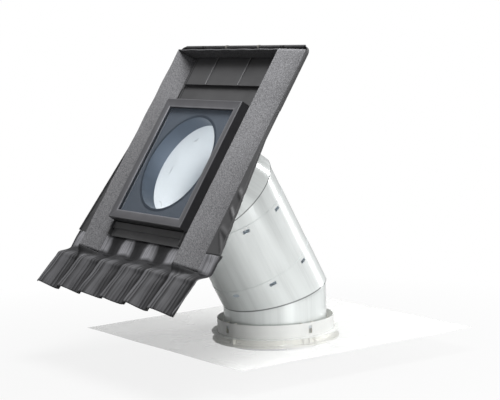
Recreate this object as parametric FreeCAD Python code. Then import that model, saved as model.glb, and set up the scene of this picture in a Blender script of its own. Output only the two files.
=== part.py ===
"""A tubular skylight for a pitched roof, put together as it hangs between roof and ceiling.

A glazed roof unit sits in a metal flashing with a pleated apron and foam strips. Below it hang an
adapter ring, an elbow, a straight tube and a second elbow, which turn the light shaft from the roof's
slope to the vertical. A vapour sheet with an upstand collar, a ceiling ring and a two-skin diffuser
close the lower end.

Frame: the origin is on the axis of the light shaft, in the plane of the roof deck that the fixing
brackets rest on. +X runs across the roof, +Y goes up the slope in plan, +Z is up. Lengths are in
millimetres and angles in degrees.
"""

import FreeCAD, Part
import math
import os

# Slopes: the roof from the horizontal, and the straight tube from the vertical
roof_pitch = 56.0
tube_tilt = 28.0

# Light shaft
tube_radius = 175.0
tube_wall = 1.0
sleeve_gap = 0.4
socket_depth = 34.0
tube_length = 240.0
upper_inlet_length = 150.0
upper_outlet_length = 92.0
lower_inlet_length = 122.0
lower_outlet_length = 122.0
seam_lip_depth = 2.0
slot_count = 8
slot_width = 24.0
slot_height = 11.0
slot_phase = 19.0
lap_angle = -21.0
lap_width = 9.0
lap_rise = 0.6
lap_end_gap = 4.0

# Adapter ring under the roof unit
ring_flange_width = 12.0
ring_flange_gauge = 1.5
ring_depth = 54.0

# Curb, the moulded box that carries the glass
curb_wall = 22.0
deck_side_margin = 21.2
deck_end_margin = 28.2
curb_ledge = 12.0
curb_below = 18.0
curb_floor = 6.0
curb_top = 36.0
deck_top = 32.0
deck_gauge = 6.0
deck_gap = 0.3
collar_step = 6.2
collar_wall = 0.8
collar_reach = 2.5
collar_lip_width = 8.0
collar_gap = 1.0

# Glass and its cladding
gasket_gauge = 1.0
gasket_width = 8.0
glass_gauge = 8.0
glass_lap = 6.0
cladding_overhang = 6.0
cladding_width = 30.5
cladding_gauge = 1.5
cladding_bottom = 8.0
cladding_crown = 6.0
cladding_slope = 3.0
cladding_bevel = 2.5
cladding_seat_gap = 0.2

# Flashing sheets, and the brackets under them
bracket_gauge = 3.0
bracket_size = 70.0
bracket_hole_offset = 26.0
bracket_hole_radius = 3.0
flashing_gauge = 1.2
flashing_side_margin = 156.0
flashing_head_margin = 231.0
flashing_gap = 0.3
upstand_height = 26.0
hem_height = 8.0
corner_radius = 30.0
bead_radius = 5.0
clip_place = 92.0
clip_width = 9.0
panel_offset = 81.0
panel_rise = 11.0
panel_gap = 16.0
rib_place = 94.0
rib_width = 3.0
rib_height = 4.0
sill_reach = 56.0
sill_rise = 16.0
sill_step = 8.0
sill_side_margin = 24.0
flare_start = 120.0

# Apron
apron_flare = 67.0
apron_flat = 65.0
apron_rise_length = 46.0
apron_skirt_length = 114.0
apron_crest_rise = 33.0
apron_bottom_rise = 52.0
wave_pitch = 140.0
wave_height = 12.0
wave_steps = 8

# Foam strips
foam_ridge_flat = 4.0
foam_edge_gap = 20.0
foam_outer_width = 60.0
foam_inner_width = 43.0
foam_head_gap = 8.0
foam_head_width = 34.0
foam_head_inner_width = 4.0
foam_height = 56.0
foam_end_gap = 2.0

# Vapour sheet and its collar
sheet_size = 933.0
sheet_gauge = 1.5
ceiling_board = 25.0
upstand_margin = 20.0
upstand_wall = 1.5
upstand_rise = 45.0
upstand_flange = 20.0
upstand_slot_width = 14.0
upstand_slot_height = 24.0

# Ceiling ring and its clamps
outlet_drop = 30.0
ceiling_flange_width = 39.8
ceiling_flange_gauge = 4.0
sleeve_height = 80.0
sleeve_wall = 2.5
flare_width = 9.0
fin_gauge = 3.0
fin_spread = 7.0
fin_height = 68.0
fin_gap = 0.5
clamp_count = 4
clamp_offset = 12.0
clamp_screw_radius = 2.0
clamp_screw_gap = 0.1
clamp_head_radius = 4.5
clamp_head_height = 2.5
clamp_screw_top = 62.0
dog_width = 14.0
dog_height = 8.0
dog_place = 50.0
ceiling_screw_offset = 25.0
ceiling_screw_radius = 2.5

# Diffuser
lip_step = 2.0
lip_gauge = 2.5
lens_gap = 0.4
lens_wall = 2.5
lens_drop = 20.0
lens_dome = 3.0
lens_corner = 8.0
rim_height = 2.5
rim_width = 14.0
tab_reach = 5.0
tab_angle = 28.0
notch_angle = 34.0
seal_gauge = 1.5
seal_width = 6.0
cap_step = 5.0
cap_height = 20.0
cap_wall = 2.0

ACROSS = FreeCAD.Vector(1, 0, 0)
UP = FreeCAD.Vector(0, 0, 1)
ZERO = FreeCAD.Vector(0, 0, 0)
REACH = 2000.0

mitre_upper = (roof_pitch + tube_tilt) / 2.0
mitre_lower = tube_tilt / 2.0

collar_radius = tube_radius - collar_step
ring_flange_radius = tube_radius + ring_flange_width
curb_width = 2 * (collar_radius + deck_side_margin + curb_wall)
curb_length = 2 * (collar_radius + deck_end_margin + curb_wall)
bracket_hole_place = curb_length / 2 + bracket_hole_offset
flashing_half_width = curb_width / 2 + flashing_side_margin
flashing_top = curb_length / 2 + flashing_head_margin
panel_bottom = curb_length / 2 + panel_offset
sill_bottom = -curb_length / 2 - sill_reach
sill_half_width = curb_width / 2 + sill_side_margin
apron_half_width = flashing_half_width + apron_flare
apron_shoulder = sill_bottom - apron_flat
apron_crest = apron_shoulder - apron_rise_length
apron_bottom = apron_crest - apron_skirt_length
foam_outer = flashing_half_width - foam_edge_gap
foam_ridge = foam_outer - foam_outer_width
foam_inner = foam_ridge - foam_inner_width
foam_outer_top = flashing_top - foam_head_gap
foam_ridge_top = foam_outer_top - foam_head_width
foam_inner_top = foam_ridge_top - foam_head_inner_width
foam_bottom = apron_shoulder + foam_end_gap
upstand_radius = tube_radius + upstand_margin
ceiling_flange_radius = tube_radius + ceiling_flange_width
flare_radius = tube_radius + flare_width
clamp_radius = tube_radius + clamp_offset
ceiling_screw_place = tube_radius + ceiling_screw_offset
lip_radius = tube_radius - lip_step
cap_radius = lip_radius - cap_step

inlet_radius = tube_radius + sleeve_gap + tube_wall
outlet_radius = tube_radius - tube_wall - sleeve_gap
sheet_plane = bracket_gauge
sheet_top = bracket_gauge + flashing_gauge
slot_inset = socket_depth / 2.0


def down(tilt):
    """Unit vector down the shaft, tilted from the vertical towards +Y."""
    a = math.radians(tilt)
    return FreeCAD.Vector(0, math.sin(a), -math.cos(a))


def place(shape, tilt, point):
    """Turns a shape about X by a tilt and moves its origin to a point."""
    moved = shape.copy()
    moved.Placement = FreeCAD.Placement(point, FreeCAD.Rotation(ACROSS, tilt)).multiply(moved.Placement)
    return moved


def on_roof(shape):
    """Puts a shape made flat, with y up the slope and z outwards, on the roof's plane."""
    return place(shape, roof_pitch, ZERO)


# Places along the shaft, from the roof unit down to the ceiling
ring_top = down(roof_pitch) * curb_below
upper_rim = ring_top + down(roof_pitch) * (ring_depth - socket_depth)
upper_seam = upper_rim + down(roof_pitch) * upper_inlet_length
upper_end = upper_seam + down(tube_tilt) * upper_outlet_length
tube_rim = upper_end - down(tube_tilt) * socket_depth
tube_end = tube_rim + down(tube_tilt) * tube_length
lower_rim = tube_end - down(tube_tilt) * socket_depth
lower_seam = lower_rim + down(tube_tilt) * lower_inlet_length
lower_end = lower_seam - UP * lower_outlet_length
ceiling = lower_end - UP * outlet_drop


def box(x0, x1, y0, y1, z0, z1):
    """A box between two corners."""
    return Part.makeBox(x1 - x0, y1 - y0, z1 - z0, FreeCAD.Vector(x0, y0, z0))


def centred_box(width, length, z0, z1):
    """A box centred on the shaft's axis."""
    return box(-width / 2, width / 2, -length / 2, length / 2, z0, z1)


def pipe(outer, wall, z0, z1):
    """A round tube about Z."""
    tube = Part.makeCylinder(outer, z1 - z0, FreeCAD.Vector(0, 0, z0))
    bore = Part.makeCylinder(outer - wall, z1 - z0, FreeCAD.Vector(0, 0, z0))
    return tube.cut(bore)


def prism(points, z0, z1):
    """A plan outline raised from one height to another."""
    wire = Part.makePolygon([FreeCAD.Vector(x, y, z0) for x, y in points + points[:1]])
    return Part.Face(wire).extrude(UP * (z1 - z0))


def section_along_x(points, half_width):
    """An outline in y and z carried across the roof."""
    wire = Part.makePolygon([FreeCAD.Vector(-half_width, y, z) for y, z in points + points[:1]])
    return Part.Face(wire).extrude(ACROSS * (2 * half_width))


def spun(points):
    """An outline in radius and z turned about Z."""
    wire = Part.makePolygon([FreeCAD.Vector(r, 0, z) for r, z in points + points[:1]])
    return Part.Face(wire).revolve(ZERO, UP, 360)


def turned(shape, angle):
    """A copy of a shape turned about Z."""
    copy = shape.copy()
    copy.rotate(ZERO, UP, angle)
    return copy


def sector(radius, angle, z0, z1):
    """A wedge of a disc, centred on +X."""
    wedge = Part.makeCylinder(radius, z1 - z0, FreeCAD.Vector(0, 0, z0), UP, angle)
    return turned(wedge, -angle / 2)


def fused(shapes):
    """One solid out of several that meet."""
    return shapes[0].multiFuse(shapes[1:]).removeSplitter()


def slotted(tube, radius, height, phase=slot_phase):
    """Cuts the ring of locking slots through a tube's wall, centred at a height."""
    depth = 10.0
    slot = box(radius - depth, radius + depth, -slot_width / 2, slot_width / 2,
               height - slot_height / 2, height + slot_height / 2)
    slots = [turned(slot, phase + i * 360.0 / slot_count) for i in range(slot_count)]
    return tube.cut(slots)


def below(tilt, point):
    """Everything below a plane across the shaft."""
    return place(box(-REACH, REACH, -REACH, REACH, -REACH, 0), tilt, point)


def above(tilt, point):
    """Everything above a plane across the shaft."""
    return place(box(-REACH, REACH, -REACH, REACH, 0, REACH), tilt, point)


def elbow_inlet(rim, tilt, seam, mitre, length):
    """The wider upper half of an elbow, with the rolled lip that its lower half hangs in."""
    spare = inlet_radius
    wall = slotted(pipe(inlet_radius, tube_wall, -length - spare, 0), inlet_radius, -slot_inset)
    lip_wall = inlet_radius - outlet_radius + tube_wall
    lip = pipe(inlet_radius, lip_wall, -length - spare, 0)
    wall = place(wall, tilt, rim)
    lip = place(lip, tilt, rim).common(below(mitre, seam - down(mitre) * seam_lip_depth))
    return wall.fuse(lip).cut(below(mitre, seam)).removeSplitter()


def elbow_outlet(seam, tilt, mitre, length):
    """The narrower lower half of an elbow."""
    spare = inlet_radius
    wall = slotted(pipe(outlet_radius, tube_wall, -length, spare), outlet_radius, slot_inset - length)
    return place(wall, tilt, seam).cut(above(mitre, seam))


def straight_tube():
    """The straight tube, with slots at both rims and the lap of its lengthwise seam."""
    wall = slotted(pipe(tube_radius, tube_wall, -tube_length, 0), tube_radius, -slot_inset)
    wall = slotted(wall, tube_radius, slot_inset - tube_length)
    lap_bottom = socket_depth + lap_end_gap - tube_length
    lap = pipe(tube_radius + lap_rise, lap_rise, lap_bottom, -lap_end_gap)
    width = math.degrees(lap_width / tube_radius)
    lap = turned(lap.common(sector(tube_radius * 2, width, lap_bottom, 0)), lap_angle)
    return place(wall.fuse(lap), tube_tilt, tube_rim)


def adapter_ring():
    """A flanged collar under the curb; its slots stand halfway between those of the elbow round it."""
    phase = slot_phase + 180.0 / slot_count
    skirt = slotted(pipe(tube_radius, tube_wall, -ring_depth, 0), tube_radius, slot_inset - ring_depth, phase)
    flange = pipe(ring_flange_radius, ring_flange_radius - tube_radius + tube_wall, -ring_flange_gauge, 0)
    return place(fused([skirt, flange]), roof_pitch, ring_top)


def curb():
    """The moulded box: a floor with the shaft's hole, a ledge for the deck, and walls up to the glass."""
    shell = centred_box(curb_width, curb_length, -curb_below, curb_top)
    inner_width = curb_width - 2 * curb_wall
    inner_length = curb_length - 2 * curb_wall
    deck_seat = deck_top - deck_gauge
    upper = centred_box(inner_width, inner_length, deck_seat, curb_top)
    lower = centred_box(inner_width - 2 * curb_ledge, inner_length - 2 * curb_ledge,
                        curb_floor - curb_below, deck_seat)
    hole = Part.makeCylinder(collar_radius + collar_gap, REACH, FreeCAD.Vector(0, 0, -REACH / 2))
    return on_roof(shell.cut([upper, lower, hole]))


def deck():
    """The inner board with the round hole that shows through the glass."""
    width = curb_width - 2 * (curb_wall + deck_gap)
    length = curb_length - 2 * (curb_wall + deck_gap)
    board = centred_box(width, length, deck_top - deck_gauge, deck_top)
    hole = Part.makeCylinder(collar_radius + deck_gap, REACH, FreeCAD.Vector(0, 0, -REACH / 2))
    return on_roof(board.cut(hole))


def light_collar():
    """The bright collar from the deck down through the curb's floor, with a lip on the deck."""
    wall = pipe(collar_radius, collar_wall, -curb_below - collar_reach, deck_top + collar_wall)
    lip = pipe(collar_radius + collar_lip_width, collar_lip_width + collar_wall, deck_top,
               deck_top + collar_wall)
    return on_roof(fused([wall, lip]))


glass_width = curb_width - 2 * curb_wall + 2 * glass_lap
glass_length = curb_length - 2 * curb_wall + 2 * glass_lap
glass_bottom = curb_top + gasket_gauge
glass_top = glass_bottom + glass_gauge
cladding_half_width = curb_width / 2 + cladding_overhang
cladding_half_length = curb_length / 2 + cladding_overhang


def glass_gasket():
    """The flat seal between the curb and the glass."""
    outer = centred_box(glass_width, glass_length, curb_top, glass_bottom)
    inner = centred_box(glass_width - 2 * gasket_width, glass_length - 2 * gasket_width,
                        curb_top, glass_bottom)
    return on_roof(outer.cut(inner))


def glass_pane():
    """The sealed pane."""
    return on_roof(centred_box(glass_width, glass_length, glass_bottom, glass_top))


def cladding_bar(side):
    """One mitred cladding profile; sides 0 to 3 are right, top, left and bottom."""
    lip = glass_top + cladding_seat_gap
    crown = glass_top + cladding_crown
    edge = crown - cladding_slope
    t = cladding_gauge
    outline = [(0, cladding_bottom), (0, crown - cladding_bevel), (cladding_bevel, crown),
               (cladding_width - t, edge), (cladding_width, edge - t), (cladding_width, lip),
               (cladding_width - t, lip), (cladding_width - 2 * t, edge - t),
               (cladding_bevel + t / 2, crown - t), (t, crown - cladding_bevel - t / 2),
               (t, cladding_bottom)]
    on_end = side % 2 == 1
    reach = cladding_half_length if on_end else cladding_half_width
    half = cladding_half_width if on_end else cladding_half_length
    points = [FreeCAD.Vector(reach - r, -half, z) for r, z in outline]
    bar = Part.Face(Part.makePolygon(points + points[:1])).extrude(FreeCAD.Vector(0, 2 * half, 0))
    depth = cladding_width + 1.0
    plan = [(reach + 1.0, -half - 1.0), (reach + 1.0, half + 1.0),
            (reach - depth, half - depth), (reach - depth, depth - half)]
    bar = bar.common(prism(plan, 0, crown + 1.0))
    return on_roof(turned(bar, 90.0 * side))


def brackets():
    """Four corner brackets on the curb, each with one hole for a screw into the roof battens."""
    core = centred_box(curb_width, curb_length, -1, bracket_gauge + 1)
    low = bracket_hole_place - bracket_size * 0.65
    high = bracket_hole_place + bracket_size * 0.35
    plates = []
    for sx in (1, -1):
        for sy in (1, -1):
            x0, x1 = sorted((sx * low, sx * high))
            y0, y1 = sorted((sy * low, sy * high))
            plate = box(x0, x1, y0, y1, 0, bracket_gauge).cut(core)
            hole = Part.makeCylinder(
                bracket_hole_radius, bracket_gauge,
                FreeCAD.Vector(sx * bracket_hole_place, sy * bracket_hole_place, 0))
            plates.append(plate.cut(hole))
    return on_roof(Part.makeCompound(plates))


flare_half_width = apron_half_width - 7.0
seat_x = curb_width / 2 + flashing_gap
seat_y = curb_length / 2 + flashing_gap


def side_flashing(side):
    """A side sheet: flat under the foam, flared towards the apron, upturned at both long edges."""
    g = flashing_gauge
    plan = [(seat_x, seat_y), (flashing_half_width, seat_y), (flashing_half_width, flare_start),
            (flare_half_width, sill_bottom), (seat_x, sill_bottom)]
    inset = [(flashing_half_width, seat_y), (flashing_half_width, flare_start),
             (flare_half_width, sill_bottom), (flare_half_width - g, sill_bottom),
             (flashing_half_width - g, flare_start), (flashing_half_width - g, seat_y)]
    sheet = prism(plan, sheet_plane, sheet_top)
    hem = prism(inset, sheet_plane, sheet_top + hem_height)
    upstand = box(seat_x, seat_x + g, -seat_y, seat_y, sheet_plane, upstand_height)
    shape = fused([sheet, hem, upstand])
    if side < 0:
        shape = shape.mirror(ZERO, ACROSS)
    return on_roof(shape)


def sheet_corner(side):
    """A rounded top corner of the head sheet, with the upturned edge that runs round it."""
    height = flashing_gauge + hem_height
    x = side * (flashing_half_width - corner_radius)
    y = flashing_top - corner_radius
    middle = FreeCAD.Vector(x, y, sheet_plane)
    plate = Part.makeCylinder(corner_radius, flashing_gauge, middle)
    rim = Part.makeCylinder(corner_radius, height, middle)
    rim = rim.cut(Part.makeCylinder(corner_radius - flashing_gauge, height, middle))
    x0, x1 = sorted((x, side * flashing_half_width))
    return plate.fuse(rim).common(box(x0, x1, y, flashing_top, sheet_plane, sheet_plane + height))


def head_flashing():
    """The head sheet: a lower pan, a raised ribbed panel with a drip fold, and a rolled top edge."""
    g = flashing_gauge
    half = flashing_half_width
    inner = half - corner_radius
    start = flashing_top - corner_radius
    bead_height = sheet_top + bead_radius - g
    pan = box(-half, half, seat_y, start, sheet_plane, sheet_top)
    strip = box(-inner, inner, start, flashing_top, sheet_plane, sheet_top)
    bead = Part.makeCylinder(bead_radius, 2 * inner, FreeCAD.Vector(-inner, flashing_top, bead_height), ACROSS)
    hems = [box(x, x + g, seat_y, start, sheet_plane, sheet_top + hem_height)
            for x in (-half, half - g)]
    corners = [sheet_corner(1), sheet_corner(-1)]
    upstand = box(-seat_x - g, seat_x + g, seat_y, seat_y + g, sheet_plane, upstand_height)
    panel_top = sheet_top + panel_rise
    width = foam_inner - panel_gap
    fold = box(-width, width, panel_bottom, panel_bottom + g, sheet_plane, panel_top)
    panel = box(-width, width, panel_bottom, foam_inner_top - 1.0, panel_top - g, panel_top)
    cheeks = [box(x, x + g, panel_bottom, foam_inner_top - 1.0, sheet_plane, panel_top)
              for x in (-width, width - g)]
    ribs = [box(x - rib_width / 2, x + rib_width / 2, panel_bottom, foam_inner_top - 1.0, panel_top,
                panel_top + rib_height) for x in (-rib_place, rib_place)]
    return on_roof(fused([pan, strip, bead, upstand, fold, panel] + cheeks + hems + corners + ribs))


def head_clips():
    """Two clips hooked over the rolled top edge."""
    bead_height = sheet_top + bead_radius - flashing_gauge
    clips = []
    for x in (-clip_place, clip_place):
        start = FreeCAD.Vector(x - clip_width / 2, flashing_top, bead_height)
        band = Part.makeCylinder(bead_radius + flashing_gauge, clip_width, start, ACROSS)
        band = band.cut(Part.makeCylinder(bead_radius, clip_width, start, ACROSS))
        clips.append(band.cut(box(-REACH, REACH, -REACH, REACH, -REACH, sheet_top)))
    return on_roof(Part.makeCompound(clips))


def sill_flashing():
    """The folded sill under the glass, two steps down to the apron."""
    g = flashing_gauge
    back = -cladding_half_length - 3.0
    mid = back - 20.0
    high = sheet_top + sill_rise
    low = sheet_top + sill_step
    outline = [(back, sheet_top), (back, high), (mid, high - 3.0), (mid - 2.0, low),
               (sill_bottom, low - 2.0), (sill_bottom, sheet_top)]
    hollow = [(back - g, sheet_top), (back - g, high - g), (mid + g, high - 3.0 - g),
              (mid - 2.0 + g, low - g), (sill_bottom + g, low - 2.0 - g), (sill_bottom + g, sheet_top)]
    fold = section_along_x(outline, sill_half_width).cut(section_along_x(hollow, sill_half_width))
    width = seat_x - flashing_gap
    sole = box(-width, width, sill_bottom, -seat_y, sheet_plane, sheet_top)
    upstand = box(-width, width, -seat_y - g, -seat_y, sheet_plane, upstand_height)
    return on_roof(fused([fold, sole, upstand]))


def apron_section(y, base, height):
    """One cross-section of the apron: a row of rolls with narrow valleys, as a thin closed outline."""
    step = wave_pitch / wave_steps
    count = int(round(2 * apron_half_width / step))
    xs = [-apron_half_width + 2 * apron_half_width * i / count for i in range(count + 1)]
    top = []
    for x in xs:
        roll = 2.0 * abs(math.cos(math.pi * x / wave_pitch)) - 1.0
        top.append(FreeCAD.Vector(x, y, base + flashing_gauge + height * roll))
    bottom = [p - UP * flashing_gauge for p in top]
    upper = Part.BSplineCurve()
    upper.interpolate(top)
    lower = Part.BSplineCurve()
    lower.interpolate(bottom[::-1])
    edges = [upper.toShape(), Part.makeLine(top[-1], bottom[-1]), lower.toShape(),
             Part.makeLine(bottom[0], top[0])]
    return Part.Wire(edges)


def apron():
    """The pleated skirt: flat under the foam, then dressed up and over the tiles below."""
    base = sheet_plane
    shoulder = apron_section(apron_shoulder, base, 0.0)
    crest = apron_section(apron_crest, base + apron_crest_rise, wave_height)
    bottom = apron_section(apron_bottom, base + apron_bottom_rise, wave_height)
    skirt = Part.makeLoft([shoulder, crest, bottom], True, True)
    flat = box(-apron_half_width, apron_half_width, apron_shoulder, sill_bottom, base, sheet_top)
    return on_roof(skirt.fuse(flat))


def foam_body():
    """The U of wedge-shaped foam round the head and sides, as one body."""
    flat = foam_ridge_flat / 2

    def frame(half, top, z):
        corners = [(-half, foam_bottom), (half, foam_bottom), (half, top), (-half, top)]
        return Part.makePolygon([FreeCAD.Vector(x, y, z) for x, y in corners + corners[:1]])

    high = sheet_top + foam_height
    outer = Part.makeLoft([frame(foam_outer, foam_outer_top, sheet_top),
                           frame(foam_ridge + flat, foam_ridge_top + flat, high)], True, True)
    inner = Part.makeLoft([frame(foam_inner, foam_inner_top, sheet_top),
                           frame(foam_ridge - flat, foam_ridge_top - flat, high)], True, True)
    return outer.cut(inner)


def foam_strip(part):
    """One foam strip out of the U: left, right or top, split at mitres from corner to corner."""
    flat = foam_ridge_flat / 2
    inside = (foam_ridge - flat, foam_ridge_top - flat)
    outside = (foam_ridge + flat, foam_ridge_top + flat)
    slope_in = (inside[1] - foam_inner_top) / (inside[0] - foam_inner)
    slope_out = (foam_outer_top - outside[1]) / (foam_outer - outside[0])
    near = foam_inner - foam_height
    far = foam_outer + foam_height
    side = [(near, foam_bottom - 10.0), (far, foam_bottom - 10.0),
            (far, foam_outer_top + slope_out * foam_height), outside, inside,
            (near, foam_inner_top - slope_in * foam_height)]
    right = prism(side, 0, 2 * foam_height)
    left = right.mirror(ZERO, ACROSS)
    body = foam_body()
    if part == "top":
        return on_roof(body.cut([right, left]))
    return on_roof(body.common(right if part == "right" else left))


def vapour_sheet():
    """The square vapour sheet that lies on the ceiling board, with the hole for its collar."""
    low = ceiling_board
    half = sheet_size / 2
    sheet = box(-half, half, -half, half, low, low + sheet_gauge)
    hole = Part.makeCylinder(upstand_radius + upstand_wall, REACH, FreeCAD.Vector(0, 0, -REACH / 2))
    return place(sheet.cut(hole), 0, ceiling)


def vapour_collar():
    """The upstand round the hole, with a flange under the sheet and a slot for each clamp."""
    outer = upstand_radius + upstand_wall
    low = ceiling_board
    wall = pipe(outer, upstand_wall, low - upstand_wall, low + upstand_rise)
    flange = pipe(outer + upstand_flange, upstand_flange + upstand_wall, low - upstand_wall, low)
    middle = low + upstand_rise / 2
    slot = box(0, REACH, -upstand_slot_width / 2, upstand_slot_width / 2,
               middle - upstand_slot_height / 2, middle + upstand_slot_height / 2)
    slots = [turned(slot, i * 360.0 / clamp_count) for i in range(clamp_count)]
    return place(fused([wall, flange]).cut(slots), 0, ceiling)


ring_sleeve_radius = outlet_radius - tube_wall - sleeve_gap
lip_top = lip_gauge - ceiling_flange_gauge


def ceiling_ring():
    """The moulded ring: a flange under the ceiling, a sleeve up into the shaft, and fins for the clamps."""
    outer = ring_sleeve_radius
    wall = sleeve_wall
    knee = outlet_drop - 2.0
    low = -ceiling_flange_gauge
    edge = ceiling_flange_radius
    outline = [(lip_radius, low), (edge - 1.8, low), (edge, low + 1.8), (edge, -0.8), (edge - 0.8, 0),
               (flare_radius + 2.0, 0), (flare_radius - 0.5, 2.0), (outer, knee),
               (outer, sleeve_height - 6.0), (outer - 2.7, sleeve_height),
               (outer - 2.7 - wall, sleeve_height), (outer - wall, sleeve_height - 7.0),
               (outer - wall, knee + 0.5), (flare_radius - 0.5 - wall, 2.5),
               (flare_radius - 0.5 - wall, lip_top), (lip_radius, lip_top)]
    body = spun(outline)
    fin_edge = upstand_radius - fin_gap
    foot = box(outer - 1.0, fin_edge, -fin_gauge / 2, fin_gauge / 2, 0, knee)
    foot = foot.cut(Part.makeCylinder(outer - wall / 2, REACH, FreeCAD.Vector(0, 0, -REACH / 2)))
    cone = Part.makeCone(flare_radius - wall, outer - wall / 2, knee)
    foot = foot.cut(cone)
    blade = box(outlet_radius + 0.7, fin_edge, -fin_gauge / 2, fin_gauge / 2, 0, fin_height)
    fin = foot.fuse(blade.cut(cone))
    fins = []
    holes = []
    notches = []
    for i in range(clamp_count):
        angle = i * 360.0 / clamp_count
        fins += [turned(fin, angle - fin_spread), turned(fin, angle + fin_spread)]
        screw = Part.makeCylinder(clamp_screw_radius + clamp_screw_gap, knee + ceiling_flange_gauge,
                                  FreeCAD.Vector(clamp_radius, 0, low))
        plain = Part.makeCylinder(ceiling_screw_radius, ceiling_flange_gauge,
                                  FreeCAD.Vector(ceiling_screw_place, 0, low))
        holes += [turned(screw, angle), turned(plain, angle + 45.0)]
        notch = sector(flare_radius - 0.5 - wall, notch_angle, low, lip_top)
        notches.append(turned(notch, angle + 45.0))
    return place(fused([body] + fins).cut(holes + notches), 0, ceiling)


def clamp_screws():
    """Four clamp screws with their heads under the flange."""
    screws = []
    head_bottom = -ceiling_flange_gauge - clamp_head_height
    for i in range(clamp_count):
        head = Part.makeCylinder(clamp_head_radius, clamp_head_height,
                                 FreeCAD.Vector(clamp_radius, 0, head_bottom))
        shank = Part.makeCylinder(clamp_screw_radius, clamp_screw_top + ceiling_flange_gauge,
                                  FreeCAD.Vector(clamp_radius, 0, -ceiling_flange_gauge))
        screws.append(turned(head.fuse(shank), i * 360.0 / clamp_count))
    return place(Part.makeCompound(screws), 0, ceiling)


def clamp_dogs():
    """Four clamp dogs drawn in beside the sleeve, one on each screw."""
    inner = outlet_radius + 1.5
    outer = upstand_radius - 1.5
    dog = box(inner, outer, -dog_width / 2, dog_width / 2, dog_place, dog_place + dog_height)
    hole = Part.makeCylinder(clamp_screw_radius + clamp_screw_gap, dog_height,
                             FreeCAD.Vector(clamp_radius, 0, dog_place))
    dog = dog.cut(hole)
    dogs = [turned(dog, i * 360.0 / clamp_count) for i in range(clamp_count)]
    return place(Part.makeCompound(dogs), 0, ceiling)


rim_top = lip_top + rim_height


def diffuser_lower_lens():
    """The clear dish that shows below the ceiling, with four bayonet tabs on the ring's lip."""
    r = lip_radius - lens_gap
    w = lens_wall
    c = lens_corner
    outline = [(r - rim_width, rim_top), (r, rim_top), (r, c - lens_drop), (r - 0.3 * c, 0.3 * c - lens_drop),
               (r - c, -lens_drop), (0, -lens_drop - lens_dome), (0, w - lens_drop - lens_dome),
               (r - c, w - lens_drop), (r - 0.3 * c - 0.7 * w, 0.3 * c + 0.7 * w - lens_drop),
               (r - w, c - lens_drop), (r - w, rim_top - w), (r - rim_width, rim_top - w)]
    dish = spun(outline)
    ring = pipe(r + tab_reach, tab_reach + w / 2, lip_top, rim_top)
    tabs = [ring.common(turned(sector(REACH, tab_angle, lip_top, rim_top), i * 360.0 / clamp_count))
            for i in range(clamp_count)]
    return place(fused([dish] + tabs), 0, ceiling)


def diffuser_seal():
    """The soft ring between the two skins of the diffuser."""
    return place(pipe(cap_radius, seal_width, rim_top, rim_top + seal_gauge), 0, ceiling)


def diffuser_upper_lens():
    """The clear cap inside the sleeve."""
    low = rim_top + seal_gauge
    high = low + cap_height
    w = cap_wall
    outline = [(cap_radius, low), (cap_radius, high - 3.0), (cap_radius - 3.0, high), (0, high),
               (0, high - w), (cap_radius - 3.0 - w / 2, high - w), (cap_radius - w, high - 3.0 - w / 2),
               (cap_radius - w, low)]
    return place(spun(outline), 0, ceiling)


def build():
    """Every piece by its name."""
    return {
        "fixing_brackets": brackets(),
        "side_flashing_left": side_flashing(-1),
        "side_flashing_right": side_flashing(1),
        "head_flashing": head_flashing(),
        "head_clips": head_clips(),
        "sill_flashing": sill_flashing(),
        "apron": apron(),
        "foam_strip_left": foam_strip("left"),
        "foam_strip_right": foam_strip("right"),
        "foam_strip_top": foam_strip("top"),
        "curb": curb(),
        "inner_deck": deck(),
        "light_collar": light_collar(),
        "glass_gasket": glass_gasket(),
        "glass_pane": glass_pane(),
        "cladding_right": cladding_bar(0),
        "cladding_top": cladding_bar(1),
        "cladding_left": cladding_bar(2),
        "cladding_bottom": cladding_bar(3),
        "adapter_ring": adapter_ring(),
        "upper_elbow_inlet": elbow_inlet(upper_rim, roof_pitch, upper_seam, mitre_upper, upper_inlet_length),
        "upper_elbow_outlet": elbow_outlet(upper_seam, tube_tilt, mitre_upper, upper_outlet_length),
        "straight_tube": straight_tube(),
        "lower_elbow_inlet": elbow_inlet(lower_rim, tube_tilt, lower_seam, mitre_lower, lower_inlet_length),
        "lower_elbow_outlet": elbow_outlet(lower_seam, 0.0, mitre_lower, lower_outlet_length),
        "vapour_sheet": vapour_sheet(),
        "vapour_collar": vapour_collar(),
        "ceiling_ring": ceiling_ring(),
        "clamp_screws": clamp_screws(),
        "clamp_dogs": clamp_dogs(),
        "diffuser_lower_lens": diffuser_lower_lens(),
        "diffuser_seal": diffuser_seal(),
        "diffuser_upper_lens": diffuser_upper_lens(),
    }


def main():
    os.makedirs("parts", exist_ok=True)
    for name, shape in build().items():
        shape.exportStep("parts/" + name + ".step")
        print(name, "solids", len(shape.Solids), "valid", shape.isValid(), "volume", round(shape.Volume))
    print("ceiling flange at", [round(c, 3) for c in ceiling])
    print("shaft points", [[round(c, 2) for c in p] for p in (
        ring_top, upper_rim, upper_seam, upper_end, tube_rim, tube_end, lower_rim, lower_seam, lower_end)])


main()
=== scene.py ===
"""Looks of a tubular skylight: the roof unit's metal, foam and glass, the pale light shaft, the vapour
film, the ceiling ring and the diffuser, with a studio stage.

Lengths in this file are in metres. Roof places are given as x across the roof, u up its slope and n
outwards, all from the middle of the bracket screws, and are turned onto the roof's pitch at the end.
"""

import math

import bpy
import numpy as np
from mathutils import Matrix, Vector


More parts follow.
